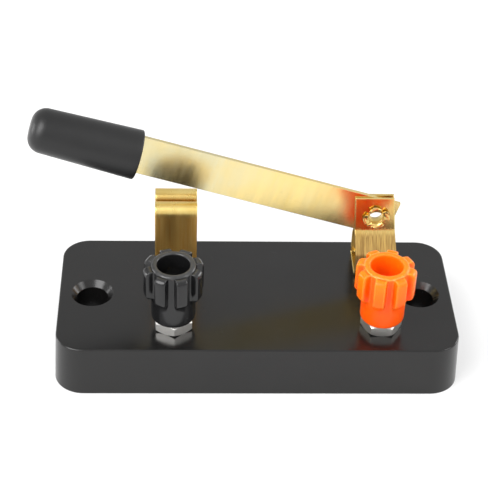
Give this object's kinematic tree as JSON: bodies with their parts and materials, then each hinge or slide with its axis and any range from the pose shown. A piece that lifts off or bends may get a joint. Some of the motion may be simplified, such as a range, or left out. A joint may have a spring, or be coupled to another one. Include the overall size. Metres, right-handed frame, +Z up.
{
  "type": "knife blade switch",
  "caption": "Open knife blade switch: hinged brass blade with a capped handle, sprung jaw clip and screw-down binding posts on a black moulded base.",
  "frame": {"origin": "middle of the base's underside, midway between the mounting holes", "axes": "+X along the base from the jaw to the hinge, +Y away from the binding posts towards the blade, +Z up"},
  "size_m": [0.1011, 0.0428, 0.0568],
  "materials": {
    "base_plastic": "semi-gloss black moulded plastic",
    "strip_brass": "brushed brass strip",
    "turned_brass": "turned brass",
    "handle_vinyl": "black dipped vinyl, soft sheen",
    "black_knob_plastic": "black moulded plastic",
    "red_knob_plastic": "orange-red moulded plastic",
    "plated_steel": "bright nickel-plated steel"
  },
  "bodies": {
    "stand": {"base": "base_plastic", "jaw_clip": "strip_brass", "hinge_clip": "strip_brass", "pivot_eyelet": "strip_brass", "black_post_bolt": "plated_steel", "black_post_nut": "plated_steel", "black_lock_washer": "plated_steel", "red_post_bolt": "plated_steel", "red_post_nut": "plated_steel", "red_lock_washer": "plated_steel", "jaw_clip_screw": "plated_steel", "jaw_clip_washer": "plated_steel", "jaw_clip_nut": "plated_steel", "hinge_clip_screw": "plated_steel", "hinge_clip_washer": "plated_steel", "hinge_clip_nut": "plated_steel", "jaw_link": "strip_brass", "hinge_link": "strip_brass"},
    "blade_arm": {"blade": "strip_brass", "handle_cap": "handle_vinyl"},
    "black_bush": {"black_knob_insert": "turned_brass"},
    "black_knob_turning": {"black_knob": "black_knob_plastic"},
    "red_bush": {"red_knob_insert": "turned_brass"},
    "red_knob_turning": {"red_knob": "red_knob_plastic"}
  },
  "joints": [
    {"name": "blade_swing", "type": "hinge", "parent": "stand", "child": "blade_arm", "pos_m": [0.02875, 0.0115, 0.028], "axis": [0, 1, 0], "range_deg": [-16.75, 160]},
    {"name": "black_knob_lift", "type": "slide", "parent": "stand", "child": "black_bush", "axis": [0, 0, 1], "range_m": [0, 0.004]},
    {"name": "black_knob_turn", "type": "hinge", "parent": "black_bush", "child": "black_knob_turning", "pos_m": [-0.0198, -0.0115, 0.0156], "axis": [0, 0, 1], "range_deg": [0, 1800]},
    {"name": "red_knob_lift", "type": "slide", "parent": "stand", "child": "red_bush", "axis": [0, 0, 1], "range_m": [0, 0.004]},
    {"name": "red_knob_turn", "type": "hinge", "parent": "red_bush", "child": "red_knob_turning", "pos_m": [0.0289, -0.0115, 0.0156], "axis": [0, 0, 1], "range_deg": [0, 1800]}
  ],
  "couplings": [
    {"joint": "black_knob_turn", "follows": "black_knob_lift", "rad_per_m": 7853.9},
    {"joint": "red_knob_turn", "follows": "red_knob_lift", "rad_per_m": 7853.9}
  ]
}
